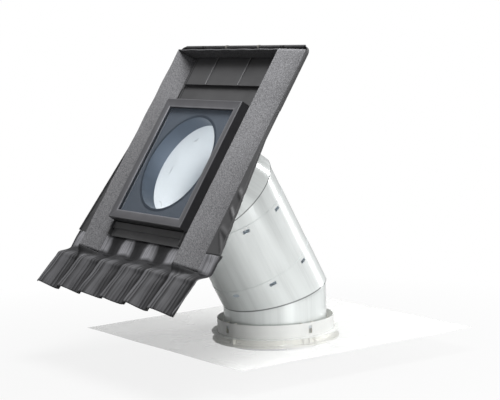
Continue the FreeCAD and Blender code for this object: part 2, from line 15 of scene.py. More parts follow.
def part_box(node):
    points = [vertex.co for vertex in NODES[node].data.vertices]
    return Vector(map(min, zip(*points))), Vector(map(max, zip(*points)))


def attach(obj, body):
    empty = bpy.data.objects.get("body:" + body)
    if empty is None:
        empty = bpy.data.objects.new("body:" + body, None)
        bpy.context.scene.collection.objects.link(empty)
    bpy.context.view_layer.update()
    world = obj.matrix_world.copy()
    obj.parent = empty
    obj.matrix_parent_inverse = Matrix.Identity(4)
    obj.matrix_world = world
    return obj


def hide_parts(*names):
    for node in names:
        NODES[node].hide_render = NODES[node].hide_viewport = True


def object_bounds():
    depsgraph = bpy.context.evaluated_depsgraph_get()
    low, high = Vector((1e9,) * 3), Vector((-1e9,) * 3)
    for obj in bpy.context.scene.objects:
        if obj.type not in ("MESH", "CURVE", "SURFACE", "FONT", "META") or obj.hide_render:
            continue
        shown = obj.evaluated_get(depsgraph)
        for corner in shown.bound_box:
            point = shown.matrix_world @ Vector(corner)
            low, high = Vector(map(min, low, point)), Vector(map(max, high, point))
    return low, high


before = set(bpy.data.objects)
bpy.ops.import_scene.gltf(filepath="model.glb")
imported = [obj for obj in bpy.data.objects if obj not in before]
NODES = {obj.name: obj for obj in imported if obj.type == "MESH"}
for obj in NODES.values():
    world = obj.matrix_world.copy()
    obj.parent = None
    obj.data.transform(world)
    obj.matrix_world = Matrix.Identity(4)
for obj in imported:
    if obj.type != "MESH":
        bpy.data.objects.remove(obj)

bl_info = {
    "name": "Tubular Skylight",
    "version": (1, 0, 0),
    "blender": (4, 5, 0),
    "location": "View3D > Sidebar > Skylight",
    "description": "Dresses a tubular skylight's frame with its sheets, foam, film and finishes",
    "category": "Add Mesh",
}

CAD_BOX = [list(corner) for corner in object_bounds()]

# Tilts of the shaft's legs, and the y of each leg's axis once its tilt is turned back
PITCH = math.radians(56.0)
TILT = math.radians(28.0)
AXIS = {PITCH: 0.0, TILT: 0.08826, 0.0: 0.337075}

# Elbow seams: the tilt of the seam's plane, and its height once that tilt is turned back
UPPER_SEAM = (math.radians(42.0), -0.18242)
LOWER_SEAM = (math.radians(14.0), -0.51426)

# Middle radius of a tube's wall, and of the outer and the inner wall where two lie in each other
WALL = 0.1745
OUTER_WALL = 0.1759
INNER_WALL = 0.1731

# Outward heights of the brackets' face and of the face of the sheet that lies on them
BRACKET_FACE = 0.003
SHEET_FACE = 0.0042

# Half sizes of the opening in the cladding
OPENING_HALF_WIDTH = 0.1875
OPENING_HALF_LENGTH = 0.1945

# Apron from the sill over the crease to its lower edge, and what it rises above and below the crease
APRON_HALF_WIDTH = 0.435
APRON_TOP = -0.275
APRON_CREASE = -0.388
APRON_BOTTOM = -0.500
CREASE_RISE = 0.033
SKIRT_RISE = 0.019
PLEAT_PHASE = 0.12

# Side sheets: their ends, the upturn at the curb, and the upturned edge, which flares below FLARE_START
SIDE_TOP = 0.2193
SIDE_BOTTOM = -0.2749
UPTURN = 0.2123
UPTURN_TOP = 0.026
EDGE = 0.368
EDGE_HEIGHT = 0.0085
EDGE_FLARE = 0.060
FLARE_START = 0.120

# Foam: the inner foot's x, then the section's corners as places out from it, heights and u of the mitre
FOAM_INNER = 0.245
FOAM_OUT = (0.0, 0.041, 0.045, 0.103)
FOAM_UP = (0.0, 0.056, 0.056, 0.0)
FOAM_MITRE = (0.404, 0.406, 0.410, 0.442)
FOAM_BOTTOM = -0.338
FOAM_OVERHANG = 0.12
FOAM_GAP = 0.0003
FOAM_ROUND_LIMIT = 0.0019

# Vapour film: side of the square, radius of the hole, gauge, and its top over the sheet's underside
FILM_SIDE = 0.933
FILM_HOLE = 0.1968
FILM_GAUGE = 0.0004
FILM_TOP = 0.0006


# Places and grids

def on_roof(x, u, n):
    """Roof places to the frame: y is u cos(pitch) - n sin(pitch), and z is u sin(pitch) + n cos(pitch)."""
    x, u, n = np.broadcast_arrays(x, u, n)
    y = u * math.cos(PITCH) - n * math.sin(PITCH)
    z = u * math.sin(PITCH) + n * math.cos(PITCH)
    return np.stack([x, y, z], -1)


def smooth(value, low, high):
    """A soft step: 3t squared less 2t cubed, with t the value's share of the way from low to high."""
    t = np.clip((value - low) / (high - low), 0.0, 1.0)
    return t * t * (3.0 - 2.0 * t)


def bell(value, centre, width):
    """A bell curve: e to the minus square of the distance from the centre over the width."""
    return np.exp(-((value - centre) / width) ** 2)


def grid_piece(name, points, wrap=(False, False), caps=False, flip=False):
    """A mesh on a grid of points, one quad a cell, closed along an axis where wrap says so, with the
    first and last rows capped by one face each where caps is true."""
    rows, columns = points.shape[:2]
    index = np.arange(rows * columns).reshape(rows, columns)
    if wrap[0]:
        index = np.vstack([index, index[:1]])
    if wrap[1]:
        index = np.hstack([index, index[:, :1]])
    quads = np.stack([index[:-1, :-1], index[1:, :-1], index[1:, 1:], index[:-1, 1:]], -1).reshape(-1, 4)
    if flip:
        quads = quads[:, ::-1]
    faces = quads.tolist()
    if caps:
        ends = [list(range(columns)), list(range((rows - 1) * columns, rows * columns))]
        faces += [ends[0][::-1], ends[1]] if flip else [ends[0], ends[1][::-1]]
    mesh = bpy.data.meshes.new(name)
    mesh.from_pydata(points.reshape(-1, 3).tolist(), [], faces)
    mesh.polygons.foreach_set("use_smooth", np.ones(len(mesh.polygons), bool))
    mesh.update()
    piece = bpy.data.objects.new(name, mesh)
    bpy.context.scene.collection.objects.link(piece)
    return piece


def thicken(piece, gauge):
    """Gives a sheet its gauge, behind the faces of its grid."""
    wall = piece.modifiers.new("gauge", "SOLIDIFY")
    wall.thickness = gauge
    wall.offset = -1.0


def dress(piece, finish, node):
    """Gives a new piece its finish and its body, and hides the node that it stands for."""
    piece.data.materials.append(finish)
    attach(piece, "root")
    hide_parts(node)


def coat(finish, *names):
    """Gives frame nodes a finish in every slot they have."""
    for name in names:
        node = NODES[name]
        if not node.material_slots:
            node.data.materials.append(finish)
        for place in node.material_slots:
            place.material = finish


# Shader maths

class Signal:
    """A shader socket that Python arithmetic builds on."""

    def __init__(self, finish, socket):
        self.finish = finish
        self.socket = socket

    def _math(self, operation, first, second):
        values = {0: first, 1: second}
        return self.finish.node("ShaderNodeMath", {"operation": operation}, values).out(0)

    def __add__(self, other):
        return self._math("ADD", self, other)

    def __sub__(self, other):
        return self._math("SUBTRACT", self, other)

    def __rsub__(self, other):
        return self._math("SUBTRACT", other, self)

    def __mul__(self, other):
        return self._math("MULTIPLY", self, other)

    def __truediv__(self, other):
        return self._math("DIVIDE", self, other)

    def __pow__(self, other):
        return self._math("POWER", self, other)

    def __abs__(self):
        return self._math("ABSOLUTE", self, 0.0)


class Made:
    """A new node, whose outputs are signals."""

    def __init__(self, finish, node):
        self.finish = finish
        self.made = node

    def out(self, which):
        return Signal(self.finish, self.made.outputs[which])


class Finish:
    """A material whose nodes come from one method."""

    def __init__(self, name):
        self.material = bpy.data.materials.new(name)
        self.material.use_nodes = True
        self.tree = self.material.node_tree
        self.tree.nodes.clear()

    def feed(self, socket, value):
        """Links a signal to a socket, or sets the socket's own value."""
        if isinstance(value, Signal):
            self.tree.links.new(value.socket, socket)
        elif socket.type == "RGBA":
            socket.default_value = (*value[:3], 1.0)
        else:
            socket.default_value = value

    def node(self, kind, settings=None, values=None):
        """A new node with its settings, a colour ramp's stops among them, and its inputs."""
        made = self.tree.nodes.new(kind)
        for key, value in (settings or {}).items():
            if key == "stops":
                ramp = made.color_ramp
                while len(ramp.elements) < len(value):
                    ramp.elements.new(0.5)
                for element, (place, colour) in zip(ramp.elements, value):
                    element.position = place
                    element.color = (*colour, 1.0)
            else:
                setattr(made, key, value)
        for key, value in (values or {}).items():
            self.feed(made.inputs[key], value)
        return Made(self, made)

    def place(self, turn=(0.0, 0.0, 0.0), stretch=(1.0, 1.0, 1.0)):
        """Object coordinates, turned back by an angle about each axis and then stretched."""
        at = self.node("ShaderNodeTexCoord").out("Object")
        if any(turn):
            at = self.node("ShaderNodeMapping", {}, {"Vector": at, "Rotation": turn}).out(0)
        return self.node("ShaderNodeMapping", {}, {"Vector": at, "Scale": stretch}).out(0)

    def noise(self, at, scale, detail=3.0, roughness=0.5):
        """Cloudy noise from 0 to 1."""
        return self.node("ShaderNodeTexNoise", {}, {
            "Vector": at, "Scale": scale, "Detail": detail, "Roughness": roughness}).out("Fac")

    def ramp(self, value, stops):
        """Runs through the stops' colours as the value goes from 0 to 1."""
        return self.node("ShaderNodeValToRGB", {"stops": stops}, {"Fac": value}).out("Color")

    def blend(self, share, first, second):
        """The first colour where the share is 0, and the second where it is 1."""
        return self.node("ShaderNodeMix", {"data_type": "RGBA"}, {0: share, 6: first, 7: second}).out(2)

    def step(self, value, low, high):
        """Rises evenly from 0 at low to 1 at high and stays there."""
        return self.node("ShaderNodeMapRange", {}, {0: value, 1: low, 2: high}).out(0)

    def parts(self, at):
        """The three parts of a vector."""
        split = self.node("ShaderNodeSeparateXYZ", {}, {"Vector": at})
        return split.out(0), split.out(1), split.out(2)

    def bump(self, height):
        """Relief from a height in metres."""
        return self.node("ShaderNodeBump", {}, {
            "Height": height, "Distance": 1.0, "Strength": 1.0}).out("Normal")

    def done(self, values):
        """Closes the material with a shader that has these inputs."""
        shader = self.node("ShaderNodeBsdfPrincipled", {}, values).out(0)
        self.node("ShaderNodeOutputMaterial", {}, {"Surface": shader})
        return self.material


def shade(colour, factor):
    """A colour made lighter or darker."""
    return tuple(min(1.0, channel * factor) for channel in colour[:3])


def linear(code):
    """A six-digit colour code as linear light."""
    parts = [int(code[i:i + 2], 16) / 255.0 for i in (0, 2, 4)]
    return tuple(c / 12.92 if c <= 0.04045 else ((c + 0.055) / 1.055) ** 2.4 for c in parts)


# Finishes

def dark_sheet(name, colour, dents=0.0005, metal=0.2, ribs=None):
    """Matt dark coat on thin sheet: cloudy tone, fine grain, soft dents. With ribs given, a painted
    highlight makes the coat lighter above that outward height on the head panel, and a pair of dark lines of
    painted shadow, where the shade of a fold in the sheet falls, runs along the foam, 12 mm further in on
    the panel."""
    f = Finish(name)
    at = f.place()
    cloud = f.noise(at, 9.0, 4.0)
    grain = f.noise(at, 700.0, 2.0)
    tone = f.ramp(cloud * 0.8 + grain * 0.2, [(0.3, shade(colour, 0.86)), (0.7, shade(colour, 1.14))])
    if ribs:
        x, along, out = f.parts(f.place((-PITCH, 0.0, 0.0)))
        # painted highlight: the rib crests on the head panel are made lighter, as where they catch the light
        painted_rib_highlight = f.step(out, ribs, ribs + 0.001) * f.step(along, 0.285, 0.290)
        tone = f.blend(painted_rib_highlight, tone, shade(colour, 2.6))
        # painted shadow: two dark lines along the foam stand for the shade at a fold of the sheet, with the
        # lit strip between them left out
        side = abs(x) + f.step(along, 0.2865, 0.2875) * 0.012
        middle = f.step(side, 0.2300, 0.2310) * f.step(side, 0.2380, 0.2370)
        painted_fold_shadow = f.step(side, 0.2260, 0.2270) * f.step(side, 0.2480, 0.2460) * (1.0 - middle)
        tone = f.blend(painted_fold_shadow * f.step(along, 0.220, 0.226) * 0.85, tone, shade(colour, 0.1))
    dent = f.noise(at, 14.0, 2.0)
    normal = f.bump(dent * dents + grain * 0.00003)
    return f.done({"Base Color": tone, "Metallic": metal, "Roughness": cloud * 0.12 + 0.38,
                   "Specular IOR Level": 0.35, "Normal": normal})


def frame_finish(name, colour):
    """Satin coat on the profiles round the glass, with a painted reflection that makes it lighter towards
    the opening, a painted highlight on the outer bevel, and painted shade that makes the outer walls dark.
    These shades go by the distance out from the opening's edge."""
    f = Finish(name)
    x, along, _ = f.parts(f.place((-PITCH, 0.0, 0.0)))
    across = abs(x) - OPENING_HALF_WIDTH
    length = abs(along) - OPENING_HALF_LENGTH
    out = f.node("ShaderNodeMath", {"operation": "MAXIMUM"}, {0: across, 1: length}).out(0)
    cloud = f.noise(f.place(), 14.0, 3.0)
    grain = f.noise(f.place(), 600.0, 2.0)
    # painted reflection lighter towards the opening, painted highlight on the outer bevel, painted shade on
    # the outer walls
    painted_sheen_and_shade = ((0.0, 2.6), (0.07, 1.9), (0.2, 1.2), (0.8, 0.9), (0.93, 1.5), (0.968, 0.4))
    tone = f.ramp(out * 32.0, [(place, shade(colour, factor)) for place, factor in painted_sheen_and_shade])
    tone = f.blend(f.step(cloud + grain * 0.3, 0.45, 0.8) * 0.4, tone, shade(colour, 0.7))
    return f.done({"Base Color": tone, "Metallic": 0.35, "Roughness": cloud * 0.1 + 0.3,
                   "Specular IOR Level": 0.35, "Normal": f.bump(grain * 0.00002)})


def pleat_finish(name, colour, pitch):
    """Matt coat on the pleats, with painted light and shade: a painted sheen on their broad faces between
    the sill and the crease and next to the foam, painted shade in the narrow folds and along the crease,
    painted light and dark lines at the ribs, and darker random streaks; lines and streaks run down the
    slope. The turn is a place's share of the way from one pleat to the next, kept positive by twenty whole
    pleats."""
    f = Finish(name)
    x, along, _ = f.parts(f.place((-PITCH, 0.0, 0.0)))
    turn = f.node("ShaderNodeMath", {"operation": "FRACT"}, {0: x / pitch + (20.0 + PLEAT_PHASE)}).out(0)
    fold = abs(turn - 0.5)
    cloud = f.noise(f.place(), 9.0, 4.0)
    streak = f.noise(f.place((-PITCH, 0.0, 0.0), (170.0, 6.0, 6.0)), 1.0, 3.0)
    # painted light and shade across each pleat: dark on the narrow rising face, lighter on the broad face,
    # light and dark lines at the ribs
    lines = ((0.0, 0.25), (0.12, 0.28), (0.20, 2.4), (0.25, 1.9), (0.29, 0.4), (0.32, 1.8), (0.36, 0.4),
             (0.41, 1.6), (0.56, 1.3), (0.60, 0.35), (0.63, 1.3), (0.67, 0.3), (0.71, 0.9), (0.78, 0.25))
    # painted sheen on the broad faces between the sill and the crease, dark between them
    painted_sheen_patches = ((0.0, 0.4), (0.2, 0.55), (0.33, 5.4), (0.6, 4.4), (0.72, 0.55), (0.9, 0.4))
    skirt = f.ramp(turn, [(place, shade(colour, factor)) for place, factor in lines])
    flat = f.ramp(turn, [(place, shade(colour, factor)) for place, factor in painted_sheen_patches])
    side = abs(x)
    # painted sheen: the flat next to the foam is made lighter
    beside = f.step(side, 0.352, 0.372) * f.step(side, 0.428, 0.405)
    flat = f.blend(beside, flat, shade(colour, 4.4))
    tone = f.blend(f.step(along, -0.352, -0.330), skirt, flat)
    # painted shade along the crease, bent with the pleats
    bent = along + fold * 0.03
    crease = f.step(bent, -0.364, -0.350) * f.step(bent, -0.322, -0.334)
    tone = f.blend(crease * 0.9, tone, shade(colour, 0.35))
    tone = f.blend(f.step(streak, 0.46, 0.62) * 0.45, tone, shade(colour, 0.45))
    normal = f.bump(f.noise(f.place(), 14.0, 2.0) * 0.0004 + streak * 0.0006)
    return f.done({"Base Color": tone, "Metallic": 0.1, "Roughness": cloud * 0.12 + 0.5,
                   "Specular IOR Level": 0.2, "Normal": normal})


def foam_finish(name, colour):
    """Open-cell foam: fine pores in light and dark, no shine."""
    f = Finish(name)
    at = f.place()
    pores = f.node("ShaderNodeTexVoronoi", {"feature": "F1"}, {"Vector": at, "Scale": 520.0}).out("Distance")
    grain = f.noise(at, 250.0, 3.0, 0.75)
    cloud = f.noise(at, 6.0, 3.0)
    tone = f.ramp(grain * 0.75 + cloud * 0.12 + pores * 0.18,
                  [(0.36, shade(colour, 0.55)), (0.5, colour), (0.68, shade(colour, 1.6))])
    return f.done({"Base Color": tone, "Roughness": 0.95, "Specular IOR Level": 0.2,
                   "Normal": f.bump(pores * 0.0005 + grain * 0.0012)})


def moulded(name, colour, rough, peel_height=0.00002, coat_weight=0.0):
    """Moulded plastic or rubber with a faint orange peel."""
    f = Finish(name)
    at = f.place()
    cloud = f.noise(at, 12.0, 3.0)
    peel = f.noise(at, 260.0, 2.0)
    tone = f.ramp(cloud, [(0.3, shade(colour, 0.96)), (0.7, shade(colour, 1.03))])
    return f.done({"Base Color": tone, "Roughness": cloud * 0.08 + (rough - 0.04),
                   "Coat Weight": coat_weight, "Normal": f.bump(peel * peel_height)})


def shaft_finish(name, colour, tilt, wall, rough=0.2, metal=0.2, seam=None):
    """Pale bright sheet with faint streaks along the tube's axis; within the wall's middle radius about that
    axis it is the inner face, which has the satin lining's colour. A seam, given as the tilt of its plane
    and its height there, gets a thin dark line of painted shade round the tube, where the lip's shadow
    falls."""
    f = Finish(name)
    x, y, _ = f.parts(f.place((-tilt, 0.0, 0.0)))
    y = y - AXIS[tilt]
    outside = f.step((x * x + y * y) ** 0.5, wall - 0.0002, wall + 0.0002)
    streak_at = f.place((-tilt, 0.0, 0.0), (38.0, 38.0, 1.6))
    fine_at = f.place((-tilt, 0.0, 0.0), (240.0, 240.0, 6.0))
    streak = f.noise(streak_at, 1.0, 4.0, 0.6)
    fine = f.noise(fine_at, 1.0, 2.0)
    cloud = f.noise(f.place(), 5.0, 2.0)
    tone = f.ramp(streak * 0.6 + fine * 0.15 + cloud * 0.25,
                  [(0.32, shade(colour, 0.84)), (0.5, colour), (0.7, shade(colour, 1.07))])
    if seam:
        # painted shade: a thin dark line at the seam stands for the shadow of the lip there
        _, _, height = f.parts(f.place((-seam[0], 0.0, 0.0)))
        tone = f.blend(f.step(abs(height - seam[1]), 0.0034, 0.0020), tone, shade(colour, 0.3))
    return f.done({"Base Color": f.blend(outside, colours().lining, tone),
                   "Metallic": outside * (metal - 0.3) + 0.3,
                   "Roughness": (streak * 0.1 + (rough - 0.65)) * outside + 0.6,
                   "Normal": f.bump((streak * 0.00018 + fine * 0.00002) * outside)})


def brushed(name, colour, tilt=0.0, rough=0.3):
    """Bright metal with a fine lengthwise brush."""
    f = Finish(name)
    brush = f.noise(f.place((-tilt, 0.0, 0.0), (500.0, 500.0, 20.0)), 1.0, 2.0)
    cloud = f.noise(f.place(), 16.0, 3.0)
    tone = f.ramp(brush * 0.5 + cloud * 0.5, [(0.3, shade(colour, 0.88)), (0.7, shade(colour, 1.08))])
    return f.done({"Base Color": tone, "Metallic": 0.85, "Roughness": brush * 0.16 + (rough - 0.08),
                   "Normal": f.bump(brush * 0.00004)})


def clear_sheet(name, colour, alpha, rough, ripple=0.0):
    """A skin that is seen through as far as its alpha is low, with its own tint, gloss and ripple."""
    f = Finish(name)
    at = f.place()
    cloud = f.noise(at, 7.0, 2.0)
    values = {"Base Color": f.ramp(cloud, [(0.3, shade(colour, 0.95)), (0.7, shade(colour, 1.04))]),
              "Alpha": cloud * 0.06 + (alpha - 0.03), "Roughness": cloud * 0.04 + (rough - 0.02),
              "Specular IOR Level": 0.6}
    if ripple:
        values["Normal"] = f.bump(f.noise(at, 22.0, 3.0) * ripple)
    return f.done(values)


# Sizes and colours that a user would change

class SkylightSizes(bpy.types.PropertyGroup):
    pleat_pitch: bpy.props.FloatProperty(
        name="Pleat Pitch", description="Distance between the apron's rolls", default=0.1410,
        min=0.05, unit="LENGTH")
    pleat_height: bpy.props.FloatProperty(
        name="Pleat Height", description="Half of the apron's wave, from valley to crest", default=0.0125,
        min=0.0, unit="LENGTH")
    rib_height: bpy.props.FloatProperty(
        name="Rib Height", description="Height of the fine doubled ribs on the apron", default=0.0022,
        min=0.0, unit="LENGTH")
    sheet_gauge: bpy.props.FloatProperty(
        name="Sheet Gauge", description="Thickness of the flashing sheet", default=0.0012,
        min=0.0002, unit="LENGTH")
    foam_round: bpy.props.FloatProperty(
        name="Foam Rounding", description="Reach of the curve at the foam's edges, used up to 1.9 mm",
        default=0.004, min=0.0, unit="LENGTH")
    film_wave: bpy.props.FloatProperty(
        name="Film Wave", description="How far the vapour film lifts off the ceiling", default=0.0016,
        min=0.0, unit="LENGTH")


def tint(name, description, code):
    """A colour property with its default from a code."""
    return bpy.props.FloatVectorProperty(name=name, description=description, default=linear(code),
                                         size=3, min=0.0, max=1.0, subtype="COLOR")


class SkylightColours(bpy.types.PropertyGroup):
    flashing: tint("Flashing", "Coat on the flashing sheets", "4b4b4c")
    apron: tint("Apron", "Coat on the pleated apron", "444446")
    foam: tint("Foam", "Foam strips", "68686a")
    cladding: tint("Cladding", "Coat on the profiles round the glass", "5f5f62")
    deck: tint("Deck", "Inner board under the glass", "636b75")
    glass: tint("Glass", "Tint of the pane", "424a55")
    # painted shade: the light collar's colour is a dark blue-grey that stands for the shade inside the
    # collar
    collar: tint("Light Collar", "Collar that shows dark through the glass", "56606c")
    shaft: tint("Shaft", "Outside of the tubes", "e6eae9")
    lining: tint("Lining", "Satin inside of the tubes", "e3e8eb")
    adapter: tint("Adapter", "Adapter ring under the curb", "d9d8d4")
    curb: tint("Curb", "Moulded curb and clamp dogs", "cfd3d6")
    film: tint("Film", "Vapour film and its collar", "f4f5f3")
    ring: tint("Ceiling Ring", "Ring under the ceiling", "f1efe6")
    diffuser: tint("Diffuser", "Clear skins of the diffuser", "e4e6f2")
    steel: tint("Steel", "Brackets, clips and screws", "b9b6ae")
    rubber: tint("Rubber", "Seals", "1d1d1e")


def sizes():
    return bpy.context.scene.skylight_sizes


def colours():
    return bpy.context.scene.skylight_colours


# Pieces

class SKYLIGHT_OT_apron(bpy.types.Operator):
    """Makes the pleated apron"""
    bl_idname = "skylight.apron"
    bl_label = "Apron"

    def surface(self, x, u):
        """Outward height: a soft rise past the foam's foot and an even one below the crease, plus a wave
        across the roof that grows from nothing at the sill to its full depth at the crease and a little
        more at the lower edge, and above the crease only beside the foam. To that come narrow bells, which
        are the doubled ribs and finer ones between them, less one wide valley, and a slight wander. Where a
        foam strip ends, the sheet stands up against its end, as high as the strip's own section."""
        s = sizes()
        side = np.abs(x)
        below = np.clip((APRON_CREASE - u) / (APRON_CREASE - APRON_BOTTOM), 0.0, 1.0)
        rise = CREASE_RISE * smooth(u, -0.337, -0.381) + SKIRT_RISE * below
        phase = 2.0 * math.pi * (x / s.pleat_pitch + PLEAT_PHASE)
        wave = (np.sin(phase) + 0.06 * np.sin(2.0 * phase)) / 1.01
        free = 1.0 - smooth(side, 0.215, 0.250) * (1.0 - smooth(side, 0.345, 0.375))
        early = 0.42 * free * smooth(u, -0.277, -0.305)
        grown = early + (1.05 - early) * smooth(u, -0.345, -0.392) + 0.35 * smooth(u, -0.41, APRON_BOTTOM)
        turn = np.mod(x / s.pleat_pitch + PLEAT_PHASE, 1.0)
        ribs = sum(bell(turn, at, 0.020) for at in (0.29, 0.36, 0.60, 0.67)) - 2.4 * bell(turn, 0.94, 0.07)
        fine = sum(bell(turn, at, 0.008) for at in (0.46, 0.50, 0.80, 0.84, 0.12, 0.16))
        ribbed = smooth(u, -0.352, -0.39)
        wander = 0.0009 * np.sin(x * 61.0 + 3.0 * np.sin(u * 24.0)) * np.sin(u * 47.0 + x * 9.0)
        height = (rise + s.pleat_height * grown * wave + s.rib_height * ribbed * ribs
                  + 0.35 * s.rib_height * ribbed * fine + wander * grown)
        section = np.interp(side - FOAM_INNER, FOAM_OUT, FOAM_UP)
        stand = smooth(u, FOAM_BOTTOM - FOAM_GAP, -0.3415) * (1.0 - smooth(u, -0.346, -0.396))
        return height + stand * np.clip(section - height, 0.0, None)

    def execute(self, context):
        """The rows lie closest where the sheet stands up against the foam, and they wave along the slope,
        from not at all at the sill to 2 mm at the lower edge."""
        x = np.linspace(-APRON_HALF_WIDTH, APRON_HALF_WIDTH, 640)[:, None]
        row = np.interp(np.arange(66), (0, 12, 32, 65), (APRON_TOP, -0.330, -0.356, APRON_BOTTOM))[None, :]
        u = row + 0.002 * (row - APRON_TOP) / (APRON_TOP - APRON_BOTTOM) * np.sin(x * 33.0)
        n = SHEET_FACE + self.surface(x, u)
        piece = grid_piece("pleated_apron", on_roof(x, u, n), flip=True)
        thicken(piece, sizes().sheet_gauge)
        finish = pleat_finish("apron_coat", colours().apron, sizes().pleat_pitch)
        dress(piece, finish, "apron")
        return {"FINISHED"}


class SKYLIGHT_OT_side_sheets(bpy.types.Operator):
    """Makes the two side sheets with their dressed folds"""
    bl_idname = "skylight.side_sheets"
    bl_label = "Side Sheets"

    def execute(self, context):
        """Each row runs down the upturn, out over the flat and up the edge. The folds are four slanting
        bells on the flat past the foam, and shallower on the left."""
        gauge = sizes().sheet_gauge
        finish = dark_sheet("side_sheet_coat", colours().flashing, dents=0.0009, metal=0.25)
        u = np.linspace(SIDE_TOP, SIDE_BOTTOM, 150)[:, None]
        edge = EDGE + EDGE_FLARE * np.clip((FLARE_START - u) / (FLARE_START - APRON_TOP), 0.0, 1.0)
        inner = np.linspace(0.0, 1.0, 8)[None, :]
        flat = np.linspace(0.0, 1.0, 90)[None, 1:]
        outer = np.linspace(0.0, 1.0, 7)[None, 1:]
        start = UPTURN + gauge
        base = BRACKET_FACE + gauge
        x = np.hstack([start + 0.0 * u * inner, start + (edge - start) * flat, edge + 0.0 * u * outer])
        n = np.hstack([UPTURN_TOP + (base - UPTURN_TOP) * inner + 0.0 * u, base + 0.0 * u * flat,
                       base + EDGE_HEIGHT * outer + 0.0 * u])
        across = np.clip((x - 0.352) / 0.06, 0.0, 1.0)
        folds = (0.0075 * bell(u + 0.62 * (x - 0.40), -0.085, 0.010)
                 + 0.0066 * bell(u + 0.80 * (x - 0.40), -0.150, 0.008)
                 + 0.0058 * bell(u + 0.45 * (x - 0.40), -0.205, 0.010)
                 + 0.0040 * bell(u + 1.10 * (x - 0.40), -0.240, 0.009))
        folds = folds * smooth(across, 0.0, 0.3) * (n < base + 1e-6)
        for name, side, depth in (("right", 1.0, 1.0), ("left", -1.0, 0.3)):
            piece = grid_piece("side_sheet_" + name, on_roof(side * x, u, n + depth * folds), flip=side > 0)
            thicken(piece, gauge)
            dress(piece, finish, "side_flashing_" + name)
        return {"FINISHED"}


class SKYLIGHT_OT_foam(bpy.types.Operator):
    """Makes the three foam strips"""
    bl_idname = "skylight.foam"
    bl_label = "Foam Strips"

    def section(self):
        """The strip's outline across its run, as (distance out from the inner foot, height), walked once
        round. Every corner is a quadratic curve, which reaches along both sides by the rounding at the
        ridge and by 0.3 of it at the feet, and by no more than fits the ridge."""
        corners = np.array([FOAM_OUT, FOAM_UP]).T[[0, 3, 2, 1]]
        rounding = np.array([0.3, 0.3, 1.0, 1.0]) * sizes().foam_round
        before = np.roll(corners, 1, 0) - corners
        after = np.roll(corners, -1, 0) - corners
        before /= np.linalg.norm(before, axis=1)[:, None]
        after /= np.linalg.norm(after, axis=1)[:, None]
        steps = np.linspace(0.0, 1.0, 7)[None, :, None]
        reach = np.minimum(rounding, FOAM_ROUND_LIMIT)[:, None, None]
        start = corners[:, None] + before[:, None] * reach
        end = corners[:, None] + after[:, None] * reach
        curve = (1 - steps) ** 2 * start + 2 * steps * (1 - steps) * corners[:, None] + steps ** 2 * end
        return curve.reshape(-1, 2)

    def execute(self, context):
        """The side strips run up to the mitre from lower ends that lean down the slope by a share of their
        height, and the head strip runs from mitre to mitre. A wobble of 0.5 mm runs along each of them and
        fades out at the feet."""
        finish = foam_finish("foam_cells", colours().foam)
        out, height = self.section().T
        out, height = out[None, :], height[None, :]
        bottom = FOAM_BOTTOM - FOAM_OVERHANG * height
        height = height + SHEET_FACE
        mitre = np.interp(out, FOAM_OUT, FOAM_MITRE)
        share = np.linspace(0.0, 1.0, 90)[:, None]
        wobble = 0.0005 * np.sin(share * 37.0 + out * 50.0) * smooth(height, 0.006, 0.03)
        u = bottom + (mitre - FOAM_GAP - bottom) * share
        for name, side in (("right", 1.0), ("left", -1.0)):
            points = on_roof(side * (FOAM_INNER + out + wobble), u, height + wobble)
            piece = grid_piece("foam_" + name, points, wrap=(False, True), caps=True, flip=side < 0)
            dress(piece, finish, "foam_strip_" + name)
        across = (FOAM_INNER + out - FOAM_GAP) * (2.0 * share - 1.0)
        points = on_roof(across, mitre + wobble, height + wobble)
        piece = grid_piece("foam_head", points, wrap=(False, True), caps=True, flip=True)
        # painted shade: the head strip's coat is a darker copy of the foam colour, for the shade on its
        # inner face
        finish = foam_finish("foam_cells_head_painted_shade", shade(colours().foam, 0.55))
        dress(piece, finish, "foam_strip_top")
        return {"FINISHED"}


class SKYLIGHT_OT_roof_metal(bpy.types.Operator):
    """Finishes the head and sill sheets, the clips and the brackets"""
    bl_idname = "skylight.roof_metal"
    bl_label = "Roof Metal"

    def execute(self, context):
        c = colours()
        coat(dark_sheet("head_coat", c.flashing, ribs=0.0156), "head_flashing")
        # painted light: the sill's coat is the flashing colour made 1.5 times lighter, to make up for the
        # shade it lies in under the curb
        coat(dark_sheet("sill_coat", shade(c.flashing, 1.5)), "sill_flashing")
        coat(brushed("zinc_steel", c.steel), "fixing_brackets", "head_clips")
        return {"FINISHED"}


class SKYLIGHT_OT_glazing(bpy.types.Operator):
    """Finishes the curb, deck, collar, glass and cladding"""
    bl_idname = "skylight.glazing"
    bl_label = "Glazing"

    def execute(self, context):
        c = colours()
        coat(frame_finish("cladding_coat", c.cladding),
             "cladding_right", "cladding_top", "cladding_left", "cladding_bottom")
        coat(moulded("curb_plastic", c.curb, rough=0.45), "curb")
        coat(moulded("deck_coat", c.deck, rough=0.5), "inner_deck")
        # painted shade: the light collar's dark colour stands for the shade inside it
        coat(brushed("collar_bright", c.collar, tilt=PITCH, rough=0.4), "light_collar")
        coat(moulded("seal_rubber", c.rubber, rough=0.6), "glass_gasket")
        coat(clear_sheet("pane", c.glass, alpha=0.22, rough=0.04, ripple=0.00002), "glass_pane")
        return {"FINISHED"}


